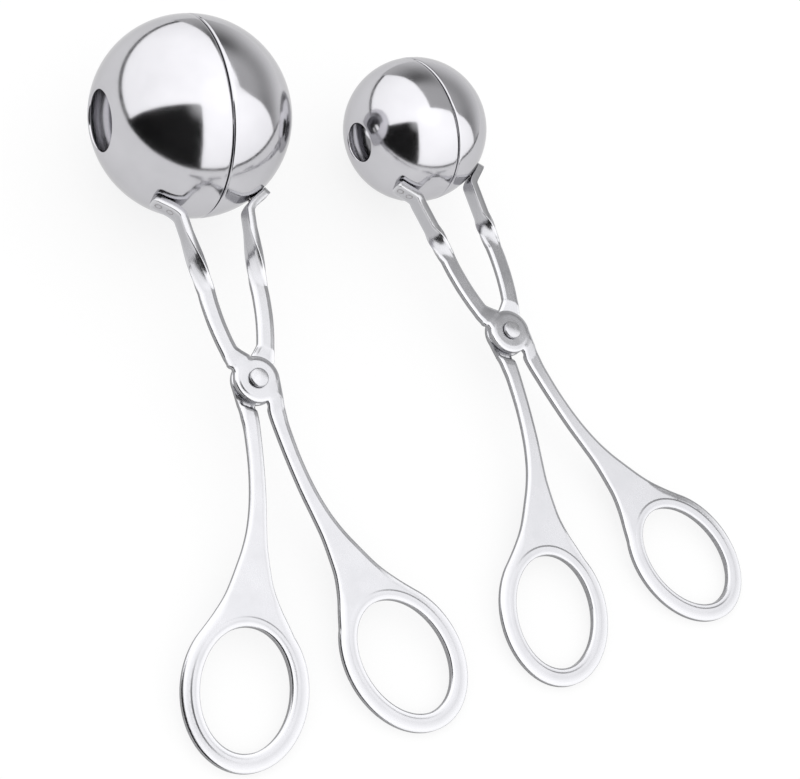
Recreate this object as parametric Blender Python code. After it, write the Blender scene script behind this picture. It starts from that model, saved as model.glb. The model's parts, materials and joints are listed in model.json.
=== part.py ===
"""A set of two pairs of meatball tongs, a large and a small one, that lie side by side on a table.

Each pair has two steel levers that cross at a riveted boss. A lever has a finger loop at one end. Its other
end is twisted on edge and bent out into a tab, which carries half of a hollow ball. Squeezing the handles
shuts the ball. Both levers are one stamping: the lower one is the upper one turned over. The small pair's
upper tab is also bent up a little towards its tip, as in the photograph.

Metres, +Z up. The set stands on z = 0 with the middle of its footprint at the origin. In a lever's own frame
the rivet is at the origin, +Y runs to the ball and +Z is square to the sheet.
"""

import math
from collections import namedtuple

import bmesh
import bpy
from mathutils import Matrix, Vector
from mathutils.geometry import delaunay_2d_cdt, interpolate_bezier

# Sheets and clearances
lever_steel = 0.0020
cup_steel = 0.0009
edge_break = 0.0002
touching_gap = 0.0003

# Boss and rivet
boss_radius = 0.0058
joggle_run = 0.0030
rivet_shank_radius = 0.0016
rivet_head_radius = 0.0025
rivet_head_edge = 0.0004
rivet_head_rise = 0.0010

# Handle and finger loop
handle_reach = 0.0711
loop_centre_out = 0.0206
loop_hole_half_width = 0.0110
loop_hole_half_length = 0.0144
loop_rim_width = 0.0044
loop_splay = math.radians(21.4)

# Ring pressed into both faces round the finger hole
lip_width = 0.0016
lip_edge_depth = 0.00045
lip_crest_depth = 0.00010
groove_width = 0.0007
groove_depth = 0.00040

# Arm, from the boss to the tab on the ball
flat_arm_length = 0.0232
arm_stand_out = 0.00695
arm_width = 0.0043
knee_cut = 0.0020
tab_width = 0.0048
tab_corner_radius = 0.0015

# What differs between the two pairs
Pair = namedtuple(
    "Pair",
    "name ball_radius pole_hole_radius neck_length twist_length knee_angle knee_stand_off "
    "tab_length upper_tab_rise spread",
)
large_pair = Pair(
    name="large",
    ball_radius=0.0250,
    pole_hole_radius=0.0074,
    neck_length=0.0439,
    twist_length=0.0150,
    knee_angle=math.radians(19),
    knee_stand_off=0.0014,
    tab_length=0.0076,
    upper_tab_rise=0,
    spread=0,
)
small_pair = Pair(
    name="small",
    ball_radius=0.0190,
    pole_hole_radius=0.0050,
    neck_length=0.0410,
    twist_length=0.0095,
    knee_angle=math.radians(26),
    knee_stand_off=0.0006,
    tab_length=0.0067,
    upper_tab_rise=0.0015,
    spread=math.radians(1.5),
)

# Where the small pair lies, from the large ball to the small one
small_ball_right = 0.0657
small_ball_back = 0.0034
small_turn = math.radians(9.6)

# Outlines as shares, each (across, along) from the rivet, chosen by eye. The handle's are shares of how far
# out the loop's centre lies and of the run from the rivet down to the loop, the others of the boss's radius.
handle_inner_shares = (
    (0.074, 0.177),
    (0.091, 0.238),
    (0.145, 0.382),
    (0.217, 0.536),
    (0.290, 0.659),
    (0.349, 0.765),
    (0.383, 0.880),
    (0.392, 0.956),
    (0.366, 1.043),
    (0.324, 1.115),
)
handle_outer_shares = (
    (0.281, 0.170),
    (0.285, 0.238),
    (0.335, 0.392),
    (0.418, 0.536),
    (0.518, 0.650),
    (0.625, 0.736),
    (0.749, 0.813),
    (0.956, 0.927),
    (1.146, 1.003),
)
neck_inner_share = (0.233, 1.10)
neck_outer_share = (1.0, 0.90)
notch_shares = ((1.095, 0.862), (1.095, 0.76), (1.05, 0.647), (0.966, 0.569))
crotch_shares = ((0.086, 1.052), (0.276, 1.26))
# The arm's middle, as shares of how far out and how far up its twist starts
arm_centre_shares = ((0.705, 0.362), (0.806, 0.483), (0.917, 0.668), (0.986, 0.871), (1.0, 1.0))
loop_joins = (math.radians(228), math.radians(-38))
boss_left_arc = (math.radians(158), math.radians(282))
boss_right_arc = (math.radians(-8), math.radians(95))

# How finely the shapes are cut
cup_segments = 40
cup_rings = 8
rivet_segments = 20
rivet_dome_rings = 3
hole_segments = 16
loop_segments = 40
boss_segments = 9
edge_segments = 2
corner_segments = 3
twist_rows = 9
arm_rows = 2
knee_rows = 5
tab_rows = 4
joggle_rings = 3
joggle_spokes = 36
sharp_angle = math.radians(32)

# Worked out from the sizes above
half_steel = lever_steel / 2
boss_lift = half_steel + touching_gap / 2
joggle_start = boss_radius + touching_gap
rivet_hole_radius = rivet_shank_radius + touching_gap
loop_centre = Vector((loop_centre_out, -handle_reach))
handle_run = handle_reach - loop_hole_half_length - loop_rim_width
merge_distance = touching_gap / 100
full_turn = 2 * math.pi
quarter_turn = math.pi / 2


def turned(point, angle):
    return Matrix.Rotation(angle, 2) @ point


def arc(centre, radius, angles, cuts):
    """Points on a circle from one angle to the other, both ends included."""
    start, end = angles
    steps = [start + (end - start) * i / cuts for i in range(cuts + 1)]
    return [centre + radius * Vector((math.cos(angle), math.sin(angle))) for angle in steps]


def circle(radius, cuts):
    """Points round the rivet's axis, clockwise."""
    return arc(Vector((0, 0)), radius, (full_turn, 0), cuts)[:-1]


def smooth(points, cuts):
    """A smooth line through the points, each stretch of it cut into the same number of pieces."""
    padded = points[:1] + points + points[-1:]
    line = points[:1]
    for before, start, end, after in zip(padded, padded[1:], padded[2:], padded[3:]):
        leave = start + (end - before) / 6
        arrive = end - (after - start) / 6
        stretch = interpolate_bezier(start, leave, arrive, end, cuts + 1)
        line += [point.to_2d() for point in stretch[1:]]
    return line


def beside(line, distance, closed=False):
    """The line moved to its left by the distance."""
    moved = []
    for i, point in enumerate(line):
        before = line[i - 1] if closed or i else point
        after = line[(i + 1) % len(line)] if closed or i + 1 < len(line) else point
        way = (after - before).normalized()
        moved.append(point + distance * Vector((-way.y, way.x)))
    return moved


def ease(share):
    """Goes from 0 to 1 with a level start and end."""
    share = min(1, max(0, share))
    return share * share * (3 - 2 * share)


def scaled(shares, wide, long, side):
    """Outline points from shares of two sizes: side -1 is up the left arm, 1 is down the right handle."""
    return [Vector((side * across * wide, -side * along * long)) for across, along in shares]


def oval(grown, angles, cuts):
    """Points on the finger hole's oval, grown outwards. It runs clockwise as the angle rises."""
    start, end = angles
    points = []
    for i in range(cuts + 1):
        angle = start + (end - start) * i / cuts
        across = (loop_hole_half_width + grown) * math.cos(angle)
        down = (loop_hole_half_length + grown) * math.sin(angle)
        points.append(loop_centre + turned(Vector((across, -down)), loop_splay))
    return points


def inside(point, loop):
    """Whether the point lies within the closed loop."""
    crossings = 0
    for start, end in zip(loop, loop[1:] + loop[:1]):
        if (start.y > point.y) != (end.y > point.y):
            share = (point.y - start.y) / (end.y - start.y)
            crossings += start.x + share * (end.x - start.x) > point.x
    return crossings % 2 == 1


def arm_path(pair):
    """Middle of the arm from the start of its twist to the tip of its tab, in the plane of the levers."""
    ball = Vector((0, pair.neck_length + pair.ball_radius))
    seat_radius = pair.ball_radius + touching_gap + half_steel
    tab_sweep = pair.tab_length / seat_radius

    def on_tab(share):
        """A point of the tab, which closes in on the ball from the knee to its tip."""
        angle = pair.knee_angle + share * tab_sweep
        radius = seat_radius + pair.knee_stand_off * (1 - share) * (1 - share)
        return ball - radius * Vector((math.sin(angle), math.cos(angle)))

    start = turned(Vector((-arm_stand_out, flat_arm_length)), pair.spread)
    knee = on_tab(0)
    way = (knee - start).normalized()
    twist_end = start + pair.twist_length * way
    bend_start = knee - knee_cut * way
    bend_share = knee_cut / pair.tab_length
    path = [start.lerp(twist_end, i / twist_rows) for i in range(twist_rows)]
    path += [twist_end.lerp(bend_start, i / arm_rows) for i in range(arm_rows)]
    bend = interpolate_bezier(bend_start, knee, knee, on_tab(bend_share), knee_rows + 1)
    path += [point.to_2d() for point in bend[:-1]]
    path += [on_tab(bend_share + (1 - bend_share) * i / tab_rows) for i in range(tab_rows + 1)]
    return path


class Blank:
    """The flat sheet that a lever is pressed from, and where the press puts each point of it."""

    def __init__(self, pair, tab_rise=0):
        self.tab_rise = tab_rise
        self.spread = pair.spread
        self.twist_length = pair.twist_length
        self.path = arm_path(pair)
        steps = [end - start for start, end in zip(self.path, self.path[1:])]
        self.distances = [sum(step.length for step in steps[:i]) for i in range(len(self.path))]
        self.ways = [
            (after + before).normalized() for before, after in zip(steps[:1] + steps, steps + steps[-1:])
        ]
        self.bend_start = self.distances[twist_rows + arm_rows]
        self.tip = self.distances[-1]
        self.rows = [distance for distance in self.distances if distance < self.tip - tab_corner_radius]

    def strip_point(self, distance, across):
        """A point of the flat strip past the twist's start. Across is positive on the inner side."""
        way = self.ways[0]
        return self.path[0] + distance * way + across * Vector((way.y, -way.x))

    def half_width(self, distance):
        return (arm_width + (tab_width - arm_width) * ease(distance / self.twist_length)) / 2

    def strip_edge(self, side):
        """One edge of the strip, from the first row past the twist's start up to the tab's corner."""
        rows = self.rows[1:] + [self.tip - tab_corner_radius]
        return [self.strip_point(distance, side * self.half_width(distance)) for distance in rows]

    def tab_end(self):
        """The rounded end of the tab, from its inner corner to its outer one."""
        corner = self.tip - tab_corner_radius
        offset = tab_width / 2 - tab_corner_radius
        right = arc(Vector((offset, corner)), tab_corner_radius, (0, quarter_turn), corner_segments)
        left = arc(Vector((-offset, corner)), tab_corner_radius, (quarter_turn, math.pi), corner_segments)
        return [self.strip_point(point.y, point.x) for point in right[1:] + left[:-1]]

    def outline(self):
        """The edge of the sheet, anticlockwise, with the material on its left."""
        centre = smooth(
            [Vector((-out * arm_stand_out, up * flat_arm_length)) for out, up in arm_centre_shares],
            edge_segments,
        )
        outer_arm = beside(centre, arm_width / 2)[::-1]
        inner_arm = beside(centre, -arm_width / 2)
        notch = scaled(notch_shares, boss_radius, boss_radius, -1)
        crotch = scaled(crotch_shares, boss_radius, boss_radius, -1)
        neck_inner = scaled([neck_inner_share], boss_radius, boss_radius, 1)
        neck_outer = scaled([neck_outer_share], boss_radius, boss_radius, 1)
        handle_inner = scaled(handle_inner_shares, loop_centre_out, handle_run, 1)
        handle_outer = scaled(handle_outer_shares, loop_centre_out, handle_run, 1)[::-1]
        loop = oval(loop_rim_width, loop_joins, loop_segments)
        pressed = outer_arm[:-1]
        pressed += smooth([outer_arm[-1], notch[0]], edge_segments)
        pressed += notch[1:]
        pressed += arc(Vector((0, 0)), boss_radius, boss_left_arc, boss_segments)
        pressed += smooth(neck_inner + handle_inner + loop[:1], edge_segments)
        pressed += loop[1:-1]
        pressed += smooth(loop[-1:] + handle_outer + neck_outer, edge_segments)
        pressed += arc(Vector((0, 0)), boss_radius, boss_right_arc, boss_segments)
        pressed += smooth(crotch + inner_arm[:1], edge_segments)
        pressed += inner_arm[1:]
        pressed = [turned(point, self.spread) for point in pressed]
        return pressed + self.strip_edge(1) + self.tab_end() + self.strip_edge(-1)[::-1]

    def finger_hole(self, grown):
        return [turned(point, self.spread) for point in oval(grown, (0, full_turn), loop_segments)[:-1]]

    def bend_marks(self, outline):
        """Points of the sheet where it bends, so that the bends come out round."""
        marks = []
        for distance in self.rows + [self.tip - tab_corner_radius]:
            across = self.half_width(distance) / 3
            marks += [self.strip_point(distance, across), self.strip_point(distance, -across)]
        room = beside(outline, 3 * edge_break, closed=True)
        for i in range(joggle_rings + 1):
            ring = circle(joggle_start + joggle_run * i / joggle_rings, joggle_spokes)
            marks += [point for point in ring if inside(point, room)]
        return marks

    def press(self, point, height):
        """Where a point of the flat sheet ends up, at a height above the middle of the sheet."""
        way = self.ways[0]
        distance = (point - self.path[0]).dot(way)
        if distance <= 0:
            lift = boss_lift * (1 - ease((point.length - joggle_start) / joggle_run))
            return Vector((point.x, point.y, lift + height))
        across = (point - self.path[0]).dot(Vector((way.y, -way.x)))
        row = max(i for i, start in enumerate(self.distances[:-1]) if start <= distance or i == 0)
        share = (distance - self.distances[row]) / (self.distances[row + 1] - self.distances[row])
        centre = self.path[row].lerp(self.path[row + 1], share)
        way = self.ways[row].lerp(self.ways[row + 1], share).normalized()
        twisted = min(1, distance / self.twist_length)
        twist = quarter_turn * (twisted + ease(twisted)) / 2
        rise = self.tab_rise * max(0, distance - self.bend_start) / (self.tip - self.bend_start)
        sideways = across * math.cos(twist) - height * math.sin(twist)
        upwards = across * math.sin(twist) + height * math.cos(twist) + rise
        flat = centre + sideways * Vector((way.y, -way.x))
        return Vector((flat.x, flat.y, upwards))


def pressed_sheet(blank):
    """The lever's mesh: both faces, the broken edges and the walls round the outline and the holes."""
    outline = blank.outline()
    groove = lip_width + groove_width
    edges = [(outline, 0), (circle(rivet_hole_radius, hole_segments), 0), (blank.finger_hole(0), lip_edge_depth)]
    rings = [
        (blank.finger_hole(lip_width / 2), lip_crest_depth),
        (blank.finger_hole(lip_width), lip_crest_depth),
        (blank.finger_hole(lip_width + groove_width / 2), groove_depth),
        (blank.finger_hole(groove), 0),
    ]
    insets = [(beside(loop, edge_break, closed=True), depth) for loop, depth in edges]
    flat = []
    depths = []
    constraints = []
    for loop, depth in insets + rings:
        first = len(flat)
        constraints += [(first + i, first + (i + 1) % len(loop)) for i in range(len(loop))]
        flat += loop
        depths += [depth] * len(loop)
    marks = blank.bend_marks(outline)
    flat += marks
    depths += [0] * len(marks)
    points, _, triangles, came_from, _, _ = delaunay_2d_cdt(flat, constraints, [], 0, merge_distance)
    place_of = {source: i for i, sources in enumerate(came_from) for source in sources}

    def in_sheet(triangle):
        middle = sum((points[i] for i in triangle), Vector((0, 0))) / len(triangle)
        return inside(middle, insets[0][0]) and not any(inside(middle, hole) for hole, _ in insets[1:])

    mesh = bmesh.new()
    face_of = {}
    for side in (1, -1):
        heights = [side * (half_steel - depths[sources[0]]) for sources in came_from]
        corners = [mesh.verts.new(blank.press(point, height)) for point, height in zip(points, heights)]
        face_of[side] = corners
        for triangle in filter(in_sheet, triangles):
            mesh.faces.new([corners[i] for i in triangle])
    first = 0
    for loop, depth in edges:
        wall = half_steel - depth - edge_break
        upper = [mesh.verts.new(blank.press(point, wall)) for point in loop]
        lower = [mesh.verts.new(blank.press(point, -wall)) for point in loop]
        top = [face_of[1][place_of[first + i]] for i in range(len(loop))]
        bottom = [face_of[-1][place_of[first + i]] for i in range(len(loop))]
        for inner, outer in ((top, upper), (upper, lower), (lower, bottom)):
            for i in range(len(loop)):
                after = (i + 1) % len(loop)
                mesh.faces.new((inner[i], inner[after], outer[after], outer[i]))
        first += len(loop)
    bmesh.ops.recalc_face_normals(mesh, faces=mesh.faces)
    return mesh


def lathe(profile, segments, closed):
    """Spins a profile of (along, radius) points round the X axis. A closed one makes a ring."""
    mesh = bmesh.new()
    corners = [mesh.verts.new((along, radius, 0)) for along, radius in profile]
    ends = corners[1:] + corners[:1] if closed else corners[1:]
    lines = [mesh.edges.new(pair) for pair in zip(corners, ends)]
    bmesh.ops.spin(
        mesh,
        geom=corners + lines,
        cent=(0, 0, 0),
        axis=(1, 0, 0),
        angle=full_turn,
        steps=segments,
        use_merge=True,
    )
    bmesh.ops.remove_doubles(mesh, verts=mesh.verts, dist=merge_distance)
    bmesh.ops.recalc_face_normals(mesh, faces=mesh.faces)
    return mesh


def cup_profile(pair):
    """Half of the ball's wall, from the seam over the outside to the pole's hole and back inside."""
    outside = pair.ball_radius
    within = outside - cup_steel
    hole = pair.pole_hole_radius
    seam = touching_gap / 2

    def curve(radius, start, end):
        angles = [start + (end - start) * i / cup_rings for i in range(cup_rings + 1)]
        return [(radius * math.cos(angle), radius * math.sin(angle)) for angle in angles]

    rim = math.acos((seam + edge_break) / outside)
    pole = math.asin((hole + edge_break) / outside)
    lip = (outside * math.cos(math.asin(hole / outside)) - edge_break, hole)
    profile = [(seam, outside - edge_break)]
    profile += curve(outside, rim, pole)
    profile += [lip]
    profile += curve(within, math.asin(hole / within), math.acos(seam / within))
    return profile


def rivet_profile():
    """The rivet from the crown of one head to the crown of the other."""
    under_head = lever_steel + touching_gap / 2 + touching_gap
    shoulder = under_head + rivet_head_edge
    dome = rivet_head_rise - rivet_head_edge
    half = [(under_head, rivet_shank_radius), (under_head, rivet_head_radius), (shoulder, rivet_head_radius)]
    for i in range(1, rivet_dome_rings + 1):
        angle = quarter_turn * i / rivet_dome_rings
        half.append((shoulder + dome * math.sin(angle), rivet_head_radius * math.cos(angle)))
    half[-1] = (half[-1][0], 0)
    return [(-along, radius) for along, radius in reversed(half)] + half


def steel(name, tone, roughness):
    material = bpy.data.materials.new(name)
    material.use_nodes = True
    shader = material.node_tree.nodes["Principled BSDF"]
    shader.inputs["Base Color"].default_value = (*tone, 1)
    shader.inputs["Metallic"].default_value = 1
    shader.inputs["Roughness"].default_value = roughness
    return material


def add_piece(name, mesh, material, carrier):
    """Makes an object of the mesh, in the frame of the empty that carries it."""
    data = bpy.data.meshes.new(name)
    mesh.to_mesh(data)
    mesh.free()
    data.materials.append(material)
    data.shade_smooth()
    data.set_sharp_from_angle(angle=sharp_angle)
    piece = bpy.data.objects.new(name, data)
    piece.parent = carrier
    bpy.context.scene.collection.objects.link(piece)
    return piece


def add_empty(name, place, carrier=None):
    empty = bpy.data.objects.new(name, None)
    empty.empty_display_size = boss_radius
    empty.matrix_world = place
    empty.parent = carrier
    bpy.context.scene.collection.objects.link(empty)
    return empty


def add_levers(pair, satin, rivet):
    """The upper lever, and the same stamping turned over about the line from the rivet to the ball."""
    for name, angle, tab_rise in (("upper", 0, pair.upper_tab_rise), ("lower", math.pi, 0)):
        mesh = pressed_sheet(Blank(pair, tab_rise))
        bmesh.ops.rotate(mesh, verts=mesh.verts, matrix=Matrix.Rotation(angle, 3, "Y"))
        add_piece(f"{pair.name}_{name}_lever", mesh, satin, rivet)


def add_cups(pair, mirror, rivet):
    to_ball = pair.neck_length + pair.ball_radius
    for name, angle in (("left", math.pi), ("right", 0)):
        mesh = lathe(cup_profile(pair), cup_segments, closed=True)
        bmesh.ops.rotate(mesh, verts=mesh.verts, matrix=Matrix.Rotation(angle, 3, "Z"))
        bmesh.ops.translate(mesh, verts=mesh.verts, vec=(0, to_ball, 0))
        add_piece(f"{pair.name}_{name}_cup", mesh, mirror, rivet)


def add_rivet(pair, polished, rivet):
    mesh = lathe(rivet_profile(), rivet_segments, closed=False)
    bmesh.ops.rotate(mesh, verts=mesh.verts, matrix=Matrix.Rotation(quarter_turn, 3, "Y"))
    add_piece(f"{pair.name}_rivet", mesh, polished, rivet)


def lying(pair, ball_place, turn):
    """The rivet's frame when the ball and the ends of both finger loops touch the table."""
    to_ball = pair.neck_length + pair.ball_radius
    to_loop_end = edge_break + min(point.y for point in Blank(pair).outline())
    run = to_ball - to_loop_end
    tilt = math.asin(pair.ball_radius / math.hypot(run, half_steel)) - math.atan2(half_steel, run)
    rotation = Matrix.Rotation(turn, 4, "Z") @ Matrix.Rotation(tilt, 4, "X")
    ball = Vector((*ball_place, pair.ball_radius))
    return Matrix.Translation(ball) @ rotation @ Matrix.Translation((0, -to_ball, 0))


def stand_on_origin(root):
    """Moves the set so that the middle of its footprint is at the origin and its lowest point on z = 0."""
    bpy.context.view_layer.update()
    corners = [
        piece.matrix_world @ vertex.co
        for piece in bpy.context.scene.objects
        if piece.type == "MESH"
        for vertex in piece.data.vertices
    ]
    low = [min(corner[i] for corner in corners) for i in range(3)]
    high = [max(corner[i] for corner in corners) for i in range(3)]
    root.location = (-(low[0] + high[0]) / 2, -(low[1] + high[1]) / 2, -low[2])


def main():
    for old in list(bpy.data.objects):
        bpy.data.objects.remove(old)
    mirror = steel("mirror_steel", (0.78, 0.78, 0.79), 0.05)
    satin = steel("satin_steel", (0.80, 0.80, 0.82), 0.24)
    polished = steel("rivet_steel", (0.80, 0.80, 0.81), 0.15)
    root = add_empty("tongs_set", Matrix.Identity(4))
    places = (
        (large_pair, (0, 0), 0),
        (small_pair, (small_ball_right, -small_ball_back), small_turn),
    )
    for pair, ball_place, turn in places:
        rivet = add_empty(f"{pair.name}_rivet_axis", lying(pair, ball_place, turn), root)
        add_levers(pair, satin, rivet)
        add_cups(pair, mirror, rivet)
        add_rivet(pair, polished, rivet)
    stand_on_origin(root)


main()
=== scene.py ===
# %% [markdown]
# # Two pairs of meatball tongs in polished steel
#
# Each pair is two crossed levers with a finger loop at one end and half of a hollow ball at the other. The
# levers are stamped from bright sheet, and the half balls are spun and polished like a mirror. Steel has no
# colour of its own, so what sells it is true shape, crisp edges and something good to reflect. This lesson
# makes each piece again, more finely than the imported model, and then builds the small light tent round it.

import json
from math import cos, pi, radians, sin
from types import SimpleNamespace

import bmesh
import bpy
import numpy as np
from mathutils import Matrix, Vector
from mathutils.geometry import delaunay_2d_cdt, interpolate_bezier


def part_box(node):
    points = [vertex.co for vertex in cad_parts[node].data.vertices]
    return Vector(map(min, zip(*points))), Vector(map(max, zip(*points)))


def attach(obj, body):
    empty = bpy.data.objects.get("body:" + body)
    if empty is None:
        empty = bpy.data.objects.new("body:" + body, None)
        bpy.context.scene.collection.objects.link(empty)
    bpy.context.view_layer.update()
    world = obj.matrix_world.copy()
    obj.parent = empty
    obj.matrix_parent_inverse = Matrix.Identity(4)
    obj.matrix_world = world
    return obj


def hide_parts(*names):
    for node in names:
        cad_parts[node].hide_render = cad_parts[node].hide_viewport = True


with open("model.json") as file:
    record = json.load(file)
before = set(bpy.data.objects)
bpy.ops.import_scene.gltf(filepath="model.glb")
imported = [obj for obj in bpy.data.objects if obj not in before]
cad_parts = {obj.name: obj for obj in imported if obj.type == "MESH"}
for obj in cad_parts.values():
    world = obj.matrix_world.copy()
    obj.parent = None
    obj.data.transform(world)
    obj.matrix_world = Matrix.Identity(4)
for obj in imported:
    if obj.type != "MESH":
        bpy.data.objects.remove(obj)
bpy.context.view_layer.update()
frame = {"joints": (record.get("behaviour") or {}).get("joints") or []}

# %% [markdown]
# ## Sizes
#
# A maker would measure the sheet, the boss and the loops once, so they are named once here, in metres. What
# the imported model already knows, such as where each rivet stands, is read from it and not typed again.

# %% Sizes of the stamping, the half balls and the rivet
lever_steel = 0.0020
cup_steel = 0.0009
touching_gap = 0.0003
welded_gap = 0.00005
boss_radius = 0.0058
joggle_run = 0.0030
rivet_shank_radius = 0.0016
rivet_head_radius = 0.0025
rivet_head_rise = 0.0010
handle_reach = 0.0711
loop_centre_out = 0.0206
loop_hole_half_width = 0.0110
loop_hole_half_length = 0.0144
loop_rim_width = 0.0044
loop_splay = radians(21.4)
flat_arm_length = 0.0232
arm_stand_out = 0.00695
arm_width = 0.0043
knee_cut = 0.0014
tab_width = 0.0048
tab_corner_radius = 0.0015
pair_sizes = {
    "large": SimpleNamespace(
        ball_radius=0.0250, pole_hole_radius=0.0074, knee_angle=radians(19),
        knee_stand_off=0.0014, tab_length=0.0076, twist_length=0.0150, upper_tab_rise=0, spread=0,
        rolled_width=0.00135, crease_angle=radians(5), twist_delay=0.85,
    ),
    "small": SimpleNamespace(
        ball_radius=0.0190, pole_hole_radius=0.0050, knee_angle=radians(26),
        knee_stand_off=0.0006, tab_length=0.0067, twist_length=0.0095, upper_tab_rise=0.0015,
        spread=radians(1.5), rolled_width=0.0010, crease_angle=radians(12), twist_delay=1.5,
    ),
}
merge_distance = touching_gap / 100
half_steel = lever_steel / 2
boss_lift = half_steel + touching_gap / 2
joggle_start = boss_radius + touching_gap
loop_centre = Vector((loop_centre_out, -handle_reach))
handle_run = handle_reach - loop_hole_half_length - loop_rim_width
full_turn = 2 * pi
quarter_turn = pi / 2
print("a handle runs", round(1000 * handle_run, 1), "mm from the rivet to its loop")

# %% [markdown]
# ## Where each pair lies
#
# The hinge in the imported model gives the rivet's place and direction, and the boxes of the two half balls
# give the middle of the ball. Those two points and one direction fix a frame for the pair: the rivet at its
# origin, +Y towards the ball and +Z square to the sheet. Every piece is made in that frame and then moved.

# %% Find each pair's frame
hinges = {joint["name"]: joint for joint in frame["joints"]}


def rivet_frame(pair):
    """The matrix from the pair's own frame to the table, and how far the ball's centre is from the rivet."""
    hinge = hinges[f"{pair}_hinge"]
    rivet = Vector(hinge["pos_m"])
    boxes = [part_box(f"{pair}_{side}_cup") for side in ("left", "right")]
    low = Vector(min(box[0][i] for box in boxes) for i in range(3))
    high = Vector(max(box[1][i] for box in boxes) for i in range(3))
    to_ball = (low + high) / 2 - rivet
    along = to_ball.normalized()
    across = along.cross(-Vector(hinge["axis"])).normalized()
    turn = Matrix((across, along, across.cross(along))).transposed().to_4x4()
    return Matrix.Translation(rivet) @ turn, to_ball.length


frames = {}
reaches = {}
for pair in pair_sizes:
    frames[pair], reaches[pair] = rivet_frame(pair)
    print(pair, "rivet at", [round(value, 4) for value in frames[pair].translation], "ball", reaches[pair])

# %% [markdown]
# ## Node trees as formulas
#
# All the finishes, and each shape that follows a rule, are node trees. A tree reads more easily as
# arithmetic, so an output of a node is wrapped as a Number here. Adding two Numbers adds a Math node.

# %% Helpers that write node trees as formulas
class Number:
    """An output of a node that can be used in a sum."""

    def __init__(self, socket):
        self.socket = socket
        self.tree = socket.id_data

    def math(self, operation, *others):
        node = self.tree.nodes.new("ShaderNodeMath")
        node.operation = operation
        for socket, value in zip(node.inputs, (self, *others)):
            plug(socket, value)
        return Number(node.outputs[0])

    def __add__(self, other):
        return self.math("ADD", other)

    def __sub__(self, other):
        return self.math("SUBTRACT", other)

    def __mul__(self, other):
        return self.math("MULTIPLY", other)

    def __truediv__(self, other):
        return self.math("DIVIDE", other)


def plug(socket, value):
    """Links a Number to a socket, or sets the socket to a plain value."""
    if isinstance(value, Number):
        value.tree.links.new(value.socket, socket)
    else:
        socket.default_value = value


def feed(node, **inputs):
    """Links or sets a node's inputs by name. An underscore stands for a space."""
    for label, value in inputs.items():
        plug(node.inputs[label.replace("_", " ")], value)


def step(tree, kind, out=0, settings=(), **inputs):
    """Adds a node, feeds its inputs, and returns one of its outputs."""
    node = tree.nodes.new(kind)
    for label, value in settings:
        setattr(node, label, value)
    feed(node, **inputs)
    return Number(node.outputs[out])


print("node helpers ready")

# %% [markdown]
# ## Finishes
#
# All of it is stainless steel, and only the finish differs: mirror-polished half balls, bright levers that
# still show a trace of the rolling mill, and rivet heads rounded by the setting tool. A metal's colour is
# what it reflects straight back, a bit over half of the light for this steel. Its finish is in the roughness
# and in a very small bump. Noise at two scales keeps both from being the same all over.

# %% Helpers for finishes
def new_material(name):
    """A new material, its tree and its Principled shader."""
    material = bpy.data.materials.new(name)
    material.use_nodes = True
    return material, material.node_tree, material.node_tree.nodes["Principled BSDF"]


def steel_finish(name, tone):
    """A new metal, its shader and a Mapping node on Object coordinates."""
    metal, tree, shader = new_material(name)
    feed(shader, Metallic=1, Base_Color=(*tone, 1), Specular_Tint=(0.8, 0.8, 0.8, 1))
    where = step(tree, "ShaderNodeTexCoord", "Object")
    return metal, shader, step(tree, "ShaderNodeMapping", Vector=where)


def noise(place, size, detail=3):
    """Noise whose blotches are about the size given, in metres."""
    return step(place.tree, "ShaderNodeTexNoise", "Fac", Vector=place, Scale=1 / size, Detail=detail)


def stretched(place, scale):
    return step(place.tree, "ShaderNodeMapping", Vector=place, Scale=scale)


def ranged(value, low, high, start=0.3, end=0.7):
    """Stretches a value, such as a noise, so that it runs from low to high."""
    return step(
        value.tree, "ShaderNodeMapRange", Value=value, From_Min=start, From_Max=end, To_Min=low, To_Max=high
    )


def mixed(share, first, second, kind="RGBA"):
    """A colour between two colours, or a number between two numbers when the kind is FLOAT."""
    settings = [("data_type", kind)]
    return step(share.tree, "ShaderNodeMix", "Result", settings, Factor=share, A=first, B=second)


def carried(tree, name):
    """A value that a piece carries on its points or faces."""
    return step(tree, "ShaderNodeAttribute", "Fac", [("attribute_name", name)])


def dress(shader, colour, roughness, *bumps):
    """Links a metal's colour and roughness, and chains a Bump node for each (height, distance in metres)."""
    below = {}
    for height, distance in bumps:
        below["Normal"] = step(height.tree, "ShaderNodeBump", Height=height, Distance=distance, **below)
    feed(shader, Base_Color=colour, Roughness=roughness, **below)


print("finish helpers ready")

# %% [markdown]
# ### Mirror steel
#
# A polished half ball is not a perfect mirror. The sheet keeps slow waves a few millimetres long from the
# press, and the mop leaves a faint haze in patches. Waves far too shallow to see still bend the outline of a
# reflection, which is why the photograph's soft boxes have slightly unsteady edges.

# %% Make the mirror steel
mirror_steel, shader, place = steel_finish("mirror_steel", tone=(0.56, 0.555, 0.58))
haze = noise(place, size=0.011)
waves = noise(place, size=0.009, detail=1)
fine = noise(place, size=0.0011, detail=5)
dress(
    shader, mixed(ranged(haze, 0, 1), (0.535, 0.53, 0.555, 1), (0.58, 0.575, 0.60, 1)),
    ranged(haze, low=0.085, high=0.125) + ranged(fine, low=0, high=0.03),
    (waves, 0.000012), (fine, 0.0000012),
)
print(mirror_steel.name, "has", len(place.tree.nodes), "nodes")
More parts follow.
